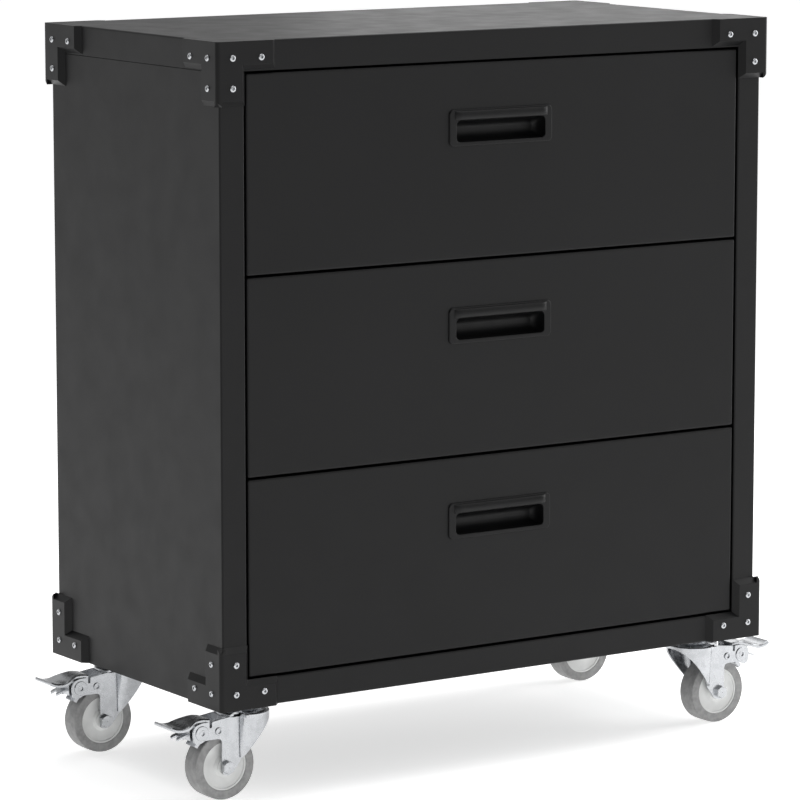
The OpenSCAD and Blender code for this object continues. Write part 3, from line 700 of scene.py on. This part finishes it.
class CHEST_OT_handles(bpy.types.Operator):
    """Moulds the three cup handles: bezel, finger scoop and hood"""
    bl_idname = "chest.handles"
    bl_label = "Drawer handles"

    def execute(self, context):
        for n in DRAWERS:
            self.handle(n, context.scene.chest_drawers)
        return {"FINISHED"}

    def handle(self, n, look):
        """The bezel lies on the drawer front, and the scoop ends at the handle's back."""
        (_, y0, z0), (x1, y1, z1) = BOX[f"drawer_handle_{n}"]
        face = BOX[f"drawer_front_{n}"][0][1]
        mid, grip_z = (z0 + z1) / 2, z0 + GRIP_UP + GRIP[1]
        make_piece(f"drawer_handle_{n}_moulded", [
            self.cup(x1, (z1 - z0) / 2, mid, grip_z, face, y1 - SHEET, look),
            self.hood(GRIP[0] + 3, grip_z + GRIP[1] + 0.4, z1 - 1.6, face - 1.9, y0)],
            f"drawer_{n}", "handle_plastic", [f"drawer_handle_{n}"])

    def cup(self, half_w, half_h, mid, grip_z, face, back, look):
        """Rings of a rounded rectangle: from the outer back of the scoop forward, out behind the
        bezel, round its edge, in to the opening and back over the scoop, whose section is part of
        an ellipse: height (1 - s + s cos t) and depth sin t."""
        e, t = look.bezel_edge, np.linspace(0, np.pi / 2, 8)
        q = np.linspace(0, np.pi / 2, 5)
        s = look.scoop
        shrink = 1 - s + s * np.cos(t)
        deep = (back - face - 0.6) * np.sin(t)
        scoop_w, scoop_h = GRIP[0] - 9 * (1 - shrink), GRIP[1] * np.maximum(shrink, 0.12)
        edge, mouth = e * (1 - np.cos(q)), LIP_R * (1 - np.sin(q))
        wide = np.concatenate([
            scoop_w[-1:] + SHEET, (scoop_w[1:] + SHEET)[::-1], [GRIP[0] + SHEET, half_w, half_w],
            half_w - edge, GRIP[0] + mouth, scoop_w])
        high = np.concatenate([
            scoop_h[-1:] * 0.6, (scoop_h[1:] + SHEET)[::-1], [GRIP[1] + SHEET, half_h, half_h],
            half_h - edge, GRIP[1] + mouth, scoop_h])
        depth = np.concatenate([
            [back + SHEET], np.minimum(face + deep[1:] + SHEET, back + SHEET)[::-1],
            [face, face, face - 0.4], face - BEZEL + e - e * np.sin(q),
            face - BEZEL + LIP_R * (1 - np.cos(q)), face + deep])
        centre = np.concatenate([np.full(len(t) + 1, grip_z), np.full(2 + len(q), mid),
                                 np.full(len(q) + len(t), grip_z)])
        corner = np.minimum(np.concatenate([
            np.full(len(t) + 1, 5.5), np.full(2, BEZEL_CORNER), np.maximum(BEZEL_CORNER - edge, 1),
            GRIP_CORNER + mouth, np.full(len(t), GRIP_CORNER)]), high * 0.92)
        rings = ring(wide, high, corner, steps=8)
        y = np.broadcast_to(depth[:, None], rings.shape[:2])
        return tube(np.stack([rings[..., 0], y, rings[..., 1] + centre[:, None]], -1))

    def hood(self, half, low, high, face, front):
        """Low ridge over the opening: its section is a skewed half ellipse from low to high, and
        its rise fades to the ends as sqrt(1 - s^2) over the hood's end."""
        x = half - HOOD_END * (1 - np.sin(np.linspace(0, np.pi / 2, 8)))
        x = np.concatenate([-x[::-1], x])
        s = np.clip((np.abs(x) - (half - HOOD_END)) / HOOD_END, 0, 0.999)
        fade = np.sqrt(1 - s ** 2)[:, None]
        t = np.linspace(0, np.pi, 15)[None, :]
        z = low + (high - low) * (0.5 - 0.5 * np.cos(t)) ** 1.15
        y = face + (front - face) * np.sin(t) ** 0.8 * fade + 0.3
        ridge = np.stack([x[:, None] + 0 * t, y, z + 0 * x[:, None]], -1)
        under = np.stack([ridge[..., 0], np.full(ridge.shape[:2], face + 0.8), ridge[..., 2]], -1)
        return tube(np.concatenate([ridge, under[:, ::-1]], 1), "strip")


class CHEST_OT_slides(bpy.types.Operator):
    """Rolls the three-part slides, with their rows of balls"""
    bl_idname = "chest.slides"
    bl_label = "Drawer slides"

    def execute(self, context):
        reach = BOX["cabinet_slides"][1][0] - BOX["drawer_tray_1"][1][0] - RAIL_GAP
        wall = BOX["cabinet_slides"][0][0]
        outer = []
        for n in DRAWERS:
            lo, hi = BOX[f"drawer_slides_{n}"]
            mid, span = (lo[2] + hi[2]) / 2, (lo[1], hi[1])
            outer += self.pair(wall, mid, 0, reach, RAIL_H[0], span)
            middle = self.pair(wall, mid, RAIL_STEP, reach, RAIL_H[1], span)
            make_piece(f"middle_slides_{n}_rolled", middle + self.balls(wall, mid, span),
                       f"middle_slide_{n}", "slide_zinc", [f"middle_slides_{n}"])
            inner = self.pair(wall, mid, reach + RAIL_GAP, 3.6, RAIL_H[2], span)
            make_piece(f"drawer_slides_{n}_rolled", inner, f"drawer_{n}", "slide_zinc",
                       [f"drawer_slides_{n}"])
        make_piece("cabinet_slides_rolled", outer, "cabinet", "slide_zinc", ["cabinet_slides"])
        return {"FINISHED"}

    def pair(self, wall, mid, web, lip, height, span):
        """Channel carried along the drawer: its line runs in from one lip, round the web and out
        along the other; the right rail is the left one with x turned over."""
        h = SHEET / 2
        back, half = web + np.sign(lip - web) * h, height / 2 - h
        line = np.array([[lip, half], [back, half], [back, -half], [lip, -half]]) + [wall, mid]
        left = tube(along(sheet_outline(rounded(line, 2.2, closed=False)), "y", *span), "strip")
        return [left, moved(left, lambda p: p * [-1, 1, 1])]

    def balls(self, wall, mid, span):
        """Rows of balls between the rails, which end before the rails do: each is centre +
        r (cos a cos b, cos a sin b, sin a) on a small grid."""
        a, b = np.linspace(-1.45, 1.45, 5)[:, None], np.arange(8)[None, :] * np.pi / 4
        ball = BALL_R * np.stack([np.cos(a) * np.cos(b), np.cos(a) * np.sin(b), np.sin(a) + 0 * b], -1)
        y = np.arange(span[0] + BALL_END, span[1] - BALL_END, BALL_PITCH)
        return [tube(ball + [side * (wall + 5.7), at, mid + z]) for side in (1, -1) for at in y
                for z in BALL_ROWS]


# ---- Casters ----

def caster(corner):
    """Places of one caster: swivel, axle and brake pivot, and which way it trails."""
    swivel, axle, pivot = (np.array(JOINTS[name.format(corner)]["pos_m"]) * 1000
                           for name in ("swivel_{}", "wheel_{}_spin", "brake_{}"))
    trail = np.sign(axle[0] - swivel[0])

    def put(p):
        """Caster's own frame to the model's: x along the trail, z up from the cabinet's underside."""
        return p * [trail, 1, 1] + swivel
    return swivel, np.abs(axle - swivel) * [1, 1, -1], np.abs(pivot - swivel) * [1, 1, -1], put


def plate(outline, y0, y1):
    """An (x, z) outline given a thickness along y."""
    return tube(along(np.asarray(outline, float), "y", y0, y1))


def both_sides(skins):
    """Each skin and the same one with y turned over."""
    return [s for skin in skins for s in (skin, moved(skin, lambda p: p * [1, -1, 1]))]


class CHEST_OT_stems(bpy.types.Operator):
    """Turns the caster stems with their upper races, and the nuts inside the cabinet"""
    bl_idname = "chest.stems"
    bl_label = "Caster stems and nuts"

    def execute(self, context):
        """Profiles (r, h) from the cabinet's underside: the stem with its race, washer and nut."""
        stem = rounded([[6, 17], [6, -0.1], [28, -0.1], [28, -3.3], [25, -4], [21, -3.4], [6, -3.4],
                        [6, -9.2], [9, -9.2], [9, -11.6], [7, -12], [0.4, -12], [0.4, 17.2],
                        [5.2, 17.2]], 0.7)
        washer = [[6.1, 1.2], [15, 1.2], [15, 2.9], [14.6, 3.2], [6.1, 3.2]]
        nut = [[6.1, 3.2], [10, 3.2], [10.97, 4], [10.97, 12.4], [9.6, 13.2], [6.1, 13.2]]
        stems, nuts = [], []
        for corner in CORNERS:
            swivel = caster(corner)[0]
            stems += [turned(stem, swivel, around=64)]
            nuts += [turned(washer, swivel, around=40),
                     turned(nut, swivel, around=48, limit=hexagon(NUT_HEX))]
        make_piece("caster_stems_turned", stems, "cabinet", "caster_zinc", ["caster_stems"])
        make_piece("caster_nuts_turned", nuts, "cabinet", "caster_zinc", ["caster_nuts"])
        return {"FINISHED"}


class CHEST_OT_forks(bpy.types.Operator):
    """Presses the four forks: crown, horn, legs and brake arms, with their rivets"""
    bl_idname = "chest.forks"
    bl_label = "Caster forks"

    def execute(self, context):
        edge = context.scene.chest_casters.pressed_edge
        for corner in CORNERS:
            _, axle, pivot, put = caster(corner)
            sides = both_sides([self.horn(axle), self.leg(axle, pivot), self.boss(pivot)])
            make_piece(f"fork_{corner}_pressed", [moved(s, put) for s in [self.crown()] + sides],
                       f"caster_{corner}", "caster_zinc", [f"fork_{corner}"], soft_edge=edge)
            rivets = both_sides([self.rivet(pivot), self.rivet([axle[0] + RIVET_BACK, 0, pivot[2]])])
            make_piece(f"fork_rivets_{corner}_headed", [moved(s, put) for s in rivets],
                       f"caster_{corner}", "caster_zinc", [f"fork_rivets_{corner}"])
        return {"FINISHED"}

    def crown(self):
        """Turned cup: raised race, lower shoulder, round rim and short skirt. Behind the creases
        it is cut straight, level with the legs."""
        def cut(t):
            c, s = np.maximum(np.cos(t), 1e-6), np.maximum(np.abs(np.sin(t)), 1e-6)
            return np.maximum(CREASE_X / c, LEG_OUT / s)

        profile = [[6.2, -5.6], [18, -5.6], [21, -10.6], [27.5, -11.6], [30.4, -13.4], [30.4, -17],
                   [28, -17], [28, -14], [22, -13], [17, -8.4], [6.2, -8.4]]
        radius = [0.3, 2, 2, 2, 2.6, 0.4, 0.4, 1, 1, 1, 0.3]
        return turned(rounded(profile, radius), (0, 0, 0), around=144, limit=cut)

    def horn(self, axle):
        """Sheet that hangs from the rim of the crown: in plan it follows r (cos a, sin a) from the
        front, then turns in to the crease as sqrt(1 - q^4), and gets shallower on its way down. Its
        lower edge falls with x, from a short skirt in front to a point at the foot of the leg."""
        a = np.radians(np.linspace(180, 68.5, 44))[None, :]
        q = np.clip((np.linspace(0, 1, 44)[None, :] - 0.66) / 0.34, 0, 1)
        u = np.linspace(0, 1, 16)[:, None]
        x, out = HORN_R * np.cos(a), HORN_R * np.sin(a)
        out = np.where(out > LEG_OUT, LEG_OUT + (out - LEG_OUT) * np.sqrt(1 - q ** 4), out)
        foot = axle[2] + 9
        low = -16.5 + (foot + 16.5) * np.clip((x + 30) / (CREASE_X + 29), 0, 1) ** 1.15
        z = -13.5 + (low + 13.5) * u
        shallow = 1 - 0.75 * np.clip((z + 16) / (foot + 16), 0, 1)
        y = np.where(out > LEG_OUT, LEG_OUT + (out - LEG_OUT) * shallow, out)
        return thick(np.stack([x + 0 * z, y + 0 * z, z], -1), HORN_T)

    def leg(self, axle, pivot):
        """Flat plate cut to the outline of the leg and the brake arm, with the notch for the pedal."""
        px, pz, ax, az = pivot[0], pivot[2], axle[0], axle[2]
        high, low, notch = pz + 11.8, pz - 9, px - 11.6
        outline = [[CREASE_X - 1.5, -14.5], [31, -16.8], [notch - 1.8, high], [notch - 1.6, pz + 5],
                   [notch + 1.6, pz + 5], [notch + 2, high], [px, high], [px + 10, pz + 9], [px + 12, pz],
                   [px + 10.4, pz - 10], [px + 6, pz - 12.6], [px + 1, pz - 11.6], [px - 4, low],
                   [ax + 6.5, low], [ax + 6.5, az + 4], [ax + 5.5, az - 8.6], [ax - 1, az - 10.2],
                   [ax - 8.5, az - 7], [CREASE_X - 0.6, az + 8], [CREASE_X - 1.5, az + 14]]
        radius = [0.4, 12, 1.2, 1.4, 1.4, 1.2, 8, 7, 12, 4, 4, 4, 6, 6, 6, 8, 8, 8, 6, 8]
        return plate(rounded(outline, radius), LEG_OUT - LEG_T, LEG_OUT)

    def boss(self, pivot):
        """Round pad pressed out behind the outer rivet."""
        return turned([[3.2, 17], [8.6, 17], [8.6, 18.2], [8.2, 18.6], [3.2, 18.6]],
                      (pivot[0], 0, pivot[2]), "y", 48)

    def rivet(self, pivot):
        """Turned rivet with a round head and a deep punched socket."""
        return turned([[0.3, 12], [3, 12], [3, 17.5], [4.5, 17.5], [4.5, 18.2], [4.1, 18.8],
                       [2.7, 18.9], [2.5, 18.5], [2.4, 14.6], [0.3, 13.4]],
                      (pivot[0], 0, pivot[2]), "y", 32)


class CHEST_OT_wheels(bpy.types.Operator):
    """Moulds the four tyres and wheel centres"""
    bl_idname = "chest.wheels"
    bl_label = "Caster wheels"

    def execute(self, context):
        shoulder = context.scene.chest_casters.tread_radius
        for corner in CORNERS:
            _, axle, _, put = caster(corner)
            _, half, radius = np.diff(BOX[f"tyre_{corner}"], axis=0)[0] / 2
            bead = np.diff(BOX[f"wheel_hub_{corner}"], axis=0)[0][2] / 2
            tyre = moved(self.tyre(radius, half, bead, shoulder, axle), put)
            make_piece(f"tyre_{corner}_moulded", [tyre], f"wheel_{corner}", "tyre_rubber",
                       [f"tyre_{corner}"])
            hub = moved(self.hub(bead, half - 0.5, axle), put)
            make_piece(f"wheel_hub_{corner}_moulded", [hub], f"wheel_{corner}", "wheel_plastic",
                       [f"wheel_hub_{corner}"])
        return {"FINISHED"}

    def tyre(self, radius, half, bead, shoulder, axle):
        """Turned ring: side, a fine step next to the wheel centre, round shoulder, slightly crowned
        tread with a parting line in its middle."""
        side = [[bead, -half + 0.4], [bead + 0.6, -half + 0.1], [bead + 1.6, -half],
                [bead + 2, -half + 0.25], [radius - shoulder * 0.7, -half + 0.1]]
        t = np.linspace(0.15, np.pi / 2, 7)
        arc = np.stack([radius - 0.25 - shoulder + shoulder * np.sin(t),
                        -half + shoulder - shoulder * np.cos(t)], 1)
        line = [[radius - 0.05, -half * 0.3], [radius - 0.02, -0.3], [radius, -0.12]]
        one = np.concatenate([side, arc, line])
        return turned(np.concatenate([one, (one * [1, -1])[::-1]]), axle, "y", 96)

    def hub(self, bead, half, axle):
        """Turned centre: rim, shallow dish with one fine step, raised boss and bore."""
        one = np.array([[4.1, -14.5], [9.8, -14.5], [10.2, -half - 0.2], [12.2, -half + 0.7],
                        [13.5, -half + 1.9], [bead - 7.6, -half + 1.8], [bead - 7, -half + 1.5],
                        [bead - 2.6, -half + 1.2], [bead - 2, -half], [bead - 0.4, -half],
                        [bead, -half + 0.3]])
        return turned(np.concatenate([one, (one * [1, -1])[::-1]]), axle, "y", 96)


class CHEST_OT_bolts(bpy.types.Operator):
    """Turns the axle bolts with their nuts"""
    bl_idname = "chest.bolts"
    bl_label = "Axle bolts"

    def execute(self, context):
        """Profiles (r, h) along the axle: the bolt's head, its nut and its shank."""
        head = [[0.4, -17.5], [8.05, -17.5], [8.05, -22.1], [6.7, -22.8], [0.4, -22.8]]
        nut = [[4.05, 17.5], [8.05, 17.5], [8.05, 23.3], [6.7, 24], [4.05, 24]]
        shank = [[0.3, -17.6], [4, -17.6], [4, 25.6], [3.4, 26], [0.3, 26]]
        for corner in CORNERS:
            _, axle, _, put = caster(corner)
            skins = [turned(profile, axle, "y", 48, hexagon(BOLT_HEX)) for profile in (head, nut)]
            skins += [turned(shank, axle, "y", 32)]
            make_piece(f"axle_bolt_{corner}_turned", [moved(s, put) for s in skins],
                       f"caster_{corner}", "caster_zinc", [f"axle_bolt_{corner}"])
        return {"FINISHED"}


class CHEST_OT_pedals(bpy.types.Operator):
    """Presses the four brake pedals, each with its ears, release tab and shoe"""
    bl_idname = "chest.pedals"
    bl_label = "Brake pedals"

    def execute(self, context):
        edge = context.scene.chest_casters.pressed_edge
        for corner in CORNERS:
            _, axle, pivot, put = caster(corner)
            skins = [part(pivot) for part in (self.tread, self.tip, self.tab)]
            skins += [self.shoe(axle), self.core(pivot)]
            make_piece(f"brake_pedal_{corner}_pressed", [moved(s, put) for s in skins],
                       f"pedal_{corner}", "caster_zinc", [f"brake_pedal_{corner}"], soft_edge=edge)
        return {"FINISHED"}

    def tread(self, pivot):
        """Pressed sheet: its middle follows a curve in (x, z) and its half width grows from 14.4 to
        20 mm. Across, it is flat, then turns down over a 2 mm radius into lips, deep at the pivot
        where they are the ears and low at the tip."""
        knots = np.array([[-12, 14.8], [-7, 15.8], [0, 16.2], [7, 15], [14, 12.4], [22, 9.4], [30, 9],
                          [37, 10.6], [40.8, 12.7]]) + [pivot[0], pivot[2]]
        x = np.linspace(knots[0, 0], knots[-1, 0], 37)
        z = np.interp(x, knots[:, 0], knots[:, 1])
        z = np.convolve(np.pad(z, 3, mode="reflect", reflect_type="odd"), np.ones(7) / 7, "valid")
        far = x - pivot[0]
        grow = np.clip((far - 3) / 16, 0, 1)
        half = 14.4 + 5.6 * grow ** 2 * (3 - 2 * grow)
        lip = 2.4 + 19 * np.exp(-((far + 2) / 9) ** 4)
        v = np.linspace(-1, 1, 33)
        side, w = np.sign(v), np.abs(v)
        flat = np.clip(w / 0.45, 0, 1)[None, :]
        turn = np.clip((w - 0.45) / 0.35, 0, 1)[None, :] * np.pi / 2
        drop = np.clip((w - 0.8) / 0.2, 0, 1)[None, :]
        y = side * ((half - TREAD_FOLD)[:, None] * flat + TREAD_FOLD * np.sin(turn))
        fall = TREAD_FOLD * (1 - np.cos(turn)) + lip[:, None] * drop
        return thick(np.stack([x[:, None] + 0 * y, y, z[:, None] - fall], -1), TREAD_T)

    def tip(self, pivot):
        """Thick edge along the end of the tread, where the sheet is folded under."""
        edge = rounded([[36.6, 9.8], [41.4, 12.6], [41.9, 9], [37.1, 6.2]], 1.1) + [pivot[0], pivot[2]]
        return plate(edge, -19.4, 19.4)

    def tab(self, pivot):
        """Release tab under the tread: a plate cut to two prongs, bent down by a parabola in x."""
        outline = rounded([[10, -10], [24, -10], [27, -9], [28, -5], [23, -2.5], [23, 2.5], [28, 5],
                           [27, 9], [24, 10], [10, 10]], 1.4) + [pivot[0], 0]
        sheet = along(outline, "z", pivot[2] - 1.4, pivot[2] + 0.8)
        sheet[..., 2] -= 0.5 + 6 * ((sheet[..., 0] - pivot[0] - 10) / 18) ** 2
        return tube(sheet)

    def shoe(self, axle):
        """Block whose inner side follows the tyre: (r cos t, r sin t) about the axle."""
        t = np.radians(np.linspace(35, 47, 9))
        inner, outer = (axle[[0, 2]] + r * np.stack([np.cos(t), np.sin(t)], 1) for r in SHOE_R)
        return plate(np.concatenate([inner, outer[::-1]]), -10, 10)

    def core(self, pivot):
        """Cross web that joins the ears, the tab and the shoe."""
        outline = np.array([[-6, -8.4], [13, -8.4], [14, 8], [10.5, 8], [10, -5.6], [-6, -5.6]])
        return plate(rounded(outline + pivot[[0, 2]], 0.8), -12, 12)


# ---- Stage ----

class CHEST_OT_stage(bpy.types.Operator):
    """Lays the floor, hangs the soft lights and sets the camera"""
    bl_idname = "chest.stage"
    bl_label = "Stage"

    def execute(self, context):
        scene, look = context.scene, context.scene.chest_stage
        self.floor(look)
        self.room(scene, look)
        self.softbox("top_softbox", (0.3, 0.2, 3.4), (0, 0, 0.6), (3.2, 3.2), look.top_light)
        self.softbox("right_softbox", (3.4, -0.6, 1.6), (0.2, 0, 0.5), (2.2, 2.6), look.side_light)
        self.softbox("back_softbox", (2.0, 2.0, 1.25), (0.2, 0.1, 0.9), (1.5, 1.0), look.back_light)
        self.camera(scene)
        scene.view_settings.view_transform = "Standard"
        return {"FINISHED"}

    def floor(self, look):
        """Disc with rings at radii that double, in metres: (r cos t, r sin t), half a millimetre
        below the wheels."""
        around, rings = 64, 8
        t = np.arange(around) * 2 * np.pi / around
        r = 0.5 * 2.0 ** np.arange(rings)[:, None]
        points = np.stack([r * np.cos(t), r * np.sin(t), 0 * r * t - 0.0005], -1)
        mesh = bpy.data.meshes.new("studio_floor")
        quads = grid_faces(rings, around, False, True)[:, ::-1].tolist()
        mesh.from_pydata(points.reshape(-1, 3), [], [list(range(around))] + quads)
        mesh.materials.append(pale_floor("white_light_table", look.floor_colour, look.floor_glow))
        obj = bpy.data.objects.new("studio_floor", mesh)
        bpy.context.scene.collection.objects.link(obj)

    def room(self, scene, look):
        """Even light all round, dimmer from the side where the studio is dark."""
        world = bpy.data.worlds.new("studio")
        scene.world = world
        world.use_nodes = True
        tree = world.node_tree
        tree.nodes.clear()
        dark_side = (-0.93, -0.35, 0.12)
        way = add_node(tree, "ShaderNodeTexCoord").outputs["Generated"]
        dark = add_node(tree, "ShaderNodeVectorMath", {0: way, 1: dark_side},
                        operation="DOT_PRODUCT")
        share = add_node(tree, "ShaderNodeMapRange", {
            "Value": dark.outputs["Value"], "From Min": 0.55, "From Max": 0.9,
            "To Min": 1.0, "To Max": 0.06})
        power = add_node(tree, "ShaderNodeMath", {0: share.outputs["Result"], 1: look.room_light},
                         operation="MULTIPLY")
        light = add_node(tree, "ShaderNodeBackground", {
            "Color": (1, 1, 1, 1), "Strength": power.outputs[0]})
        add_node(tree, "ShaderNodeOutputWorld", {"Surface": light.outputs["Background"]})

    def softbox(self, name, place, target, size, power):
        """Area light at a place in metres, turned to face a target."""
        data = bpy.data.lights.new(name, "AREA")
        data.shape, data.size, data.size_y, data.energy = "RECTANGLE", *size, power
        lamp = bpy.data.objects.new(name, data)
        bpy.context.scene.collection.objects.link(lamp)
        away = Vector(place) - Vector(target)
        lamp.location = place
        lamp.rotation_euler = away.to_track_quat("Z", "Y").to_euler()

    def camera(self, scene):
        """Long lens, looking down 8.8 degrees and from the left by 33.5 degrees."""
        data = bpy.data.cameras.new("studio_camera")
        data.sensor_width, data.lens, data.clip_end = 36, 193.4, 100
        camera = bpy.data.objects.new("studio_camera", data)
        scene.collection.objects.link(camera)
        camera.location = (-2.848, -4.276, 1.211)
        camera.rotation_euler = (math.radians(90 - 8.81), 0, math.radians(-33.54))
        scene.camera = camera


class CHEST_PT_panel(bpy.types.Panel):
    """Lists the chest's pieces, sizes and colours"""
    bl_idname = "CHEST_PT_panel"
    bl_label = "Rolling tool chest"
    bl_space_type = "VIEW_3D"
    bl_region_type = "UI"
    bl_category = "Chest"

    def draw(self, context):
        for operator in OPERATORS:
            self.layout.operator(operator.bl_idname)
        for group in GROUPS:
            for name in GROUPS[group].__annotations__:
                self.layout.prop(getattr(context.scene, group), name)


OPERATORS = (CHEST_OT_panels, CHEST_OT_brackets, CHEST_OT_screws, CHEST_OT_drawer_fronts,
             CHEST_OT_drawer_trays, CHEST_OT_handles, CHEST_OT_slides, CHEST_OT_stems,
             CHEST_OT_forks, CHEST_OT_wheels, CHEST_OT_bolts, CHEST_OT_pedals, CHEST_OT_stage)
GROUPS = {"chest_cabinet": CabinetLook, "chest_drawers": DrawerLook, "chest_casters": CasterLook,
          "chest_stage": StageLook}


def register():
    for cls in (*GROUPS.values(), *OPERATORS, CHEST_PT_panel):
        bpy.utils.register_class(cls)
    for name, group in GROUPS.items():
        setattr(bpy.types.Scene, name, PointerProperty(type=group))


def unregister():
    for name in GROUPS:
        delattr(bpy.types.Scene, name)
    for cls in reversed((*GROUPS.values(), *OPERATORS, CHEST_PT_panel)):
        bpy.utils.unregister_class(cls)


def main():
    register()
    for operator in OPERATORS:
        group, name = operator.bl_idname.split(".")
        getattr(getattr(bpy.ops, group), name)()


if __name__ == "__main__":
    main()
